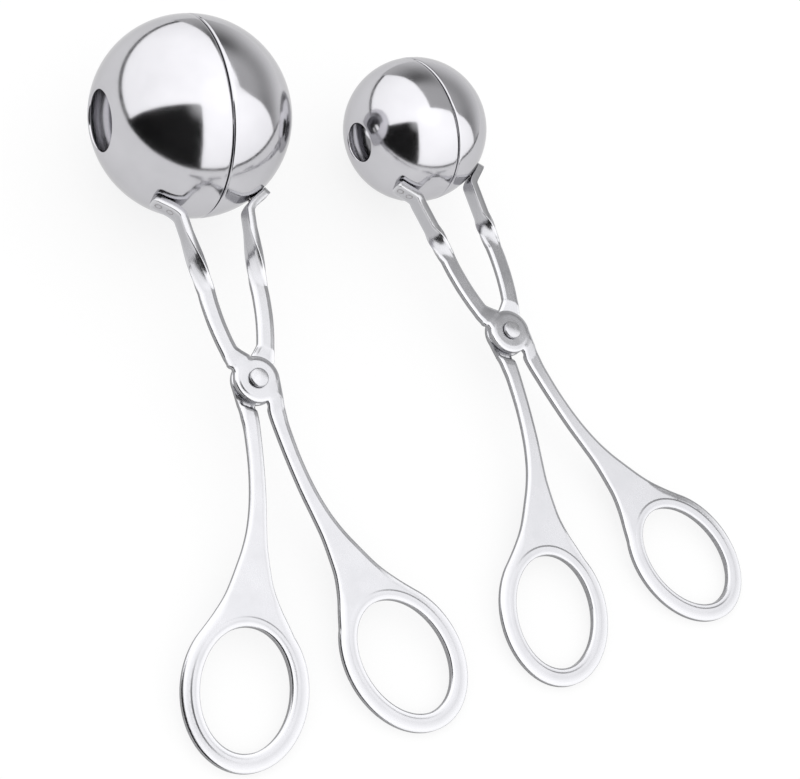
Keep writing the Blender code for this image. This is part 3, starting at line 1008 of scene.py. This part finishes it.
# %% The weld's tree
weld_rows = 4
dish_floor_radius, dish_floor_depth = 0.35, 0.7
crest_start, crest_end, crest_end_height = 0.72, 0.86, 0.9
weld_tree, size = new_tree(
    "Spot welds",
    ("Print Radius", "Dish Depth", "Ridge Height", "Sheet", "Nugget Radius", "Reach", "Turns", "Material"),
)
print_radius = size["Print Radius"]
nugget = size["Nugget Radius"]
ridge = size["Ridge Height"]
dish = size["Dish Depth"] * -1
under = size["Sheet"] * -1
ball_side = size["Reach"] * -1
profile = [
    (dish, 0), (dish * dish_floor_depth, print_radius * dish_floor_radius),
    (ridge, print_radius * crest_start), (ridge * crest_end_height, print_radius * crest_end),
    (ridge * -1, print_radius), (under, print_radius), (under, nugget), (ball_side, nugget), (ball_side, 0),
]
button = joined([turned(size, weld_rows, start, end) for start, end in zip(profile, profile[1:])])
facing = step(
    weld_tree, "GeometryNodeInputNamedAttribute", settings=[("data_type", "FLOAT_VECTOR")], Name="facing"
)
turn = step(weld_tree, "FunctionNodeAlignRotationToVector", settings=[("axis", "X")], Vector=facing)
placed = step(
    weld_tree, "GeometryNodeInstanceOnPoints", Points=size["Geometry"], Instance=button, Rotation=turn
)
ends_in(placed, size["Material"])
print(weld_tree.name, "has", len(weld_tree.nodes), "nodes")

# %% Make the welds of the four tabs
weld_shares = (0.32, 0.74)
weld_rise = 0.0003
weld_print_radius = 0.00105
weld_dish_depth = 0.00014
weld_ridge_height = 0.00005
weld_turns = 32
nugget_radius = 0.0006
nugget_overlap = 0.0001
for (pair, name), (blank, place) in blanks.items():
    spots, facings = [], []
    for share in weld_shares:
        distance = blank.tip - (1 - share) * blank.sizes.tab_length
        flat_spot = blank.strip_point(distance, weld_rise if name == "upper" else -weld_rise)
        outer = blank.press(flat_spot, half_steel)
        inner = blank.press(flat_spot, -half_steel)
        spots.append(outer)
        facings.extend((outer - inner).normalized())
    points = plain_mesh("weld points", spots)
    points.attributes.new("facing", "FLOAT_VECTOR", "POINT").data.foreach_set("vector", facings)
    open_gap = welded_gap + stand_off(blank.sizes, weld_shares[0])
    mesh = grown(
        weld_tree, points, Print_Radius=weld_print_radius, Dish_Depth=weld_dish_depth,
        Ridge_Height=weld_ridge_height, Sheet=lever_steel - nugget_overlap, Nugget_Radius=nugget_radius,
        Reach=lever_steel + open_gap + nugget_overlap, Turns=weld_turns, Material=weld_steel,
    )
    finish_piece(f"{pair}_{name}_spot_welds", mesh, place, f"{pair}_{name}", None)

# %% [markdown]
# ## Floor and light tent
#
# The tongs lie on a white table inside a small tent, which is how shiny things are photographed. Its walls
# are pale sheets, one of them left open for the camera and one unlit. The sheets only show in reflections:
# the camera and the plain light from the white world pass through them, so the tongs look right from any
# side. Each sheet carries a "glow" value on its points, so that it can fade from one edge to the other.

# %% The floor and the white world
floor_reach = 6.0
floor_tone = 0.26
floor_glow = 0.76
ray_ways = ("Camera", "Glossy", "Transmission")


def seen_straight(tree):
    """1 for camera rays and for rays that mirrors and glass send on, 0 for rays that carry soft light."""
    path = tree.nodes.new("ShaderNodeLightPath")
    camera, glossy, through = (Number(path.outputs[f"Is {way} Ray"]) for way in ray_ways)
    return camera.math("MAXIMUM", glossy).math("MAXIMUM", through)


table_white, tree, shader = new_material("table_white")
feed(shader, Base_Color=(floor_tone, floor_tone, floor_tone, 1), Roughness=1, Specular_IOR_Level=0)
glow = step(tree, "ShaderNodeEmission", Strength=ranged(seen_straight(tree), 0, floor_glow, start=0, end=1))
both = tree.nodes.new("ShaderNodeAddShader")
plug(both.inputs[0], Number(shader.outputs[0]))
plug(both.inputs[1], glow)
feed(tree.nodes["Material Output"], Surface=Number(both.outputs[0]))

corners = [(x * floor_reach, y * floor_reach, 0) for x, y in ((-1, -1), (1, -1), (1, 1), (-1, 1))]
floor = in_scene("white_table", plain_mesh("white_table", corners, [(0, 1, 2, 3)], table_white))

world = bpy.data.worlds.new("white_room")
bpy.context.scene.world = world
world.use_nodes = True
feed(world.node_tree.nodes["Background"], Color=(1, 1, 1, 1), Strength=1)
print("floor and world are white")

# %% The tent's cloth, and how its sheets are hung
tent_cloth, tree, shader = new_material("tent_cloth")
tree.nodes.remove(shader)
glow = step(tree, "ShaderNodeEmission", Strength=carried(tree, "glow"))
feed(tree.nodes["Material Output"], Surface=glow)


def hang(name, points, columns, closed, glows):
    """A sheet of the tent, from points that lie row after row. A closed one goes all the way round."""
    faces = []
    for low in range(0, len(points) - columns, columns):
        for j in range(columns if closed else columns - 1):
            after = (j + 1) % columns
            faces.append((low + j, low + after, low + columns + after, low + columns + j))
    mesh = plain_mesh(name, points, faces, tent_cloth)
    mesh.attributes.new("glow", "FLOAT", "POINT").data.foreach_set("value", glows)
    sheet = in_scene(name, mesh)
    sheet.visible_camera = sheet.visible_diffuse = sheet.visible_shadow = False
    print(name, len(faces), "faces")


def between(name, left, right, bulge, glow_at, steps=16):
    """A sheet between two lines of points, both from the floor up, that swells outwards near the floor."""
    def along(line, share):
        place = share * (len(line) - 1)
        i = min(int(place), len(line) - 2)
        return line[i].lerp(line[i + 1], place - i)

    points, glows = [], []
    for up in spaced(0, 1, steps):
        start, end = along(left, up), along(right, up)
        for over in spaced(0, 1, steps):
            point = start.lerp(end, over)
            out = Vector((point.x, point.y, 0)).normalized()
            points.append(point + out * bulge * sin(pi * over) * (1 - up))
            glows.append(glow_at(over, up))
    hang(name, points, steps + 1, False, glows)


def line_of(*places):
    """Points of a line from places in millimetres."""
    return [Vector(place) / 1000 for place in places]


def ramp(value, start, end):
    """Eases from 0 to 1 as the value goes from start to end."""
    return ease((value - start) / (end - start))


print("tent helpers ready")

# %% The dome and its hem
tent_radius = 0.34
tent_height = 0.30
hem_height = 0.022
rings, spokes = 32, 96
wall_glow = 1.45
dome_glow_rise = 0.27
cap_glow_rise = 0.10
cap_start, cap_end = 1.2, 1.35
soft_way, soft_up = radians(24), radians(62)
soft_radius = radians(11)
soft_dip = 0.30
hem_glow = 0.12


def towards(way, up):
    """The direction at an angle round the table and an angle up."""
    return Vector((cos(up) * cos(way), cos(up) * sin(way), sin(up)))


points, glows = [], []
for up in spaced(0, quarter_turn, rings):
    for way in spaced(0, full_turn, spokes)[:-1]:
        x, y, z = towards(way, up)
        points.append((tent_radius * x, tent_radius * y, hem_height + tent_height * z))
        soft = 1 - ease(towards(way, up).angle(towards(soft_way, soft_up)) / soft_radius)
        cap = cap_glow_rise * ramp(up, cap_start, cap_end)
        glows.append(wall_glow + dome_glow_rise * z + cap - soft_dip * soft)
hang("white_tent", points, spokes, True, glows)
rim = points[:spokes]
hang("tent_hem", [(x, y, 0) for x, y, _ in rim] + rim, spokes, True, [hem_glow] * (2 * spokes))

# %% The open side, behind the camera
open_left = line_of((-315, 75, 0), (-285, 55, 90), (-225, 32, 155), (-143, 8, 204), (-95, -8, 225))
open_right = line_of((-80, -322, 0), (-96, -300, 88), (-93, -189, 155), (-93, -100, 210), (-90, -25, 235))
open_bulge = 0.11
open_glow = 0.005
open_top_glow = 0.6
open_top_start = 0.72


def opening_glow(over, up):
    """Almost dark, and lit near the top, where the opening narrows."""
    return open_glow + open_top_glow * ramp(up, open_top_start, 1)


between("tent_opening", open_left, open_right, open_bulge, opening_glow)

# %% The unlit sheet
unlit_left = line_of(
    (-12, 255, 0), (-10, 218, 60), (-2, 195, 100), (4, 165, 127), (8, 127, 138), (12, 93, 133),
    (15, 58, 127),
)
unlit_right = line_of(
    (345, -45, 0), (330, -25, 50), (300, 0, 120), (250, 20, 190), (190, 28, 240), (104, 42, 196),
    (15, 58, 127),
)
unlit_bulge = 0.12
foot_glow = 0.95
middle_dip = 0.52
top_rise = 0.15
left_dip = 0.30
right_dip = 0.45


def unlit_glow(over, up):
    """Bright at the floor, darkest half way up and along both sides, and half lit at the top."""
    left = left_dip * (1 - ramp(over, 0.1, 0.3)) * (1 - ramp(up, 0.4, 0.65))
    right = right_dip * ramp(over, 0.6, 1) * (1 - ramp(up, 0, 0.6))
    return foot_glow - middle_dip * ramp(up, 0, 0.45) + top_rise * ramp(up, 0.45, 0.7) - left - right


between("unlit_sheet", unlit_left, unlit_right, unlit_bulge, unlit_glow)

# %% [markdown]
# ## Camera
#
# The photograph was taken from the left, 53 degrees up and with the camera rolled, about half a metre from
# the balls. Its place, aim, roll and lens come from fitting a camera to the balls, seams and levers.

# %% Place the camera
camera_place = Vector((-0.23821, -0.17044, 0.38989))
camera_aim = Vector((0.00164, -0.00304, 0))
camera_roll = radians(41.483)
camera_lens_mm = 85.758
camera_sensor_mm = 36
nearest_seen = 0.01
view = bpy.data.cameras.new("view")
view.lens = camera_lens_mm
view.sensor_width = camera_sensor_mm
view.clip_start = nearest_seen
camera = in_scene("camera", view)
looking = (camera_aim - camera_place).to_track_quat("-Z", "Y").to_matrix().to_4x4()
camera.matrix_world = Matrix.Translation(camera_place) @ looking @ Matrix.Rotation(camera_roll, 4, "Z")
bpy.context.scene.camera = camera
bpy.context.scene.view_settings.view_transform = "Standard"
print("camera", round((camera_aim - camera_place).length, 3), "m from its aim")
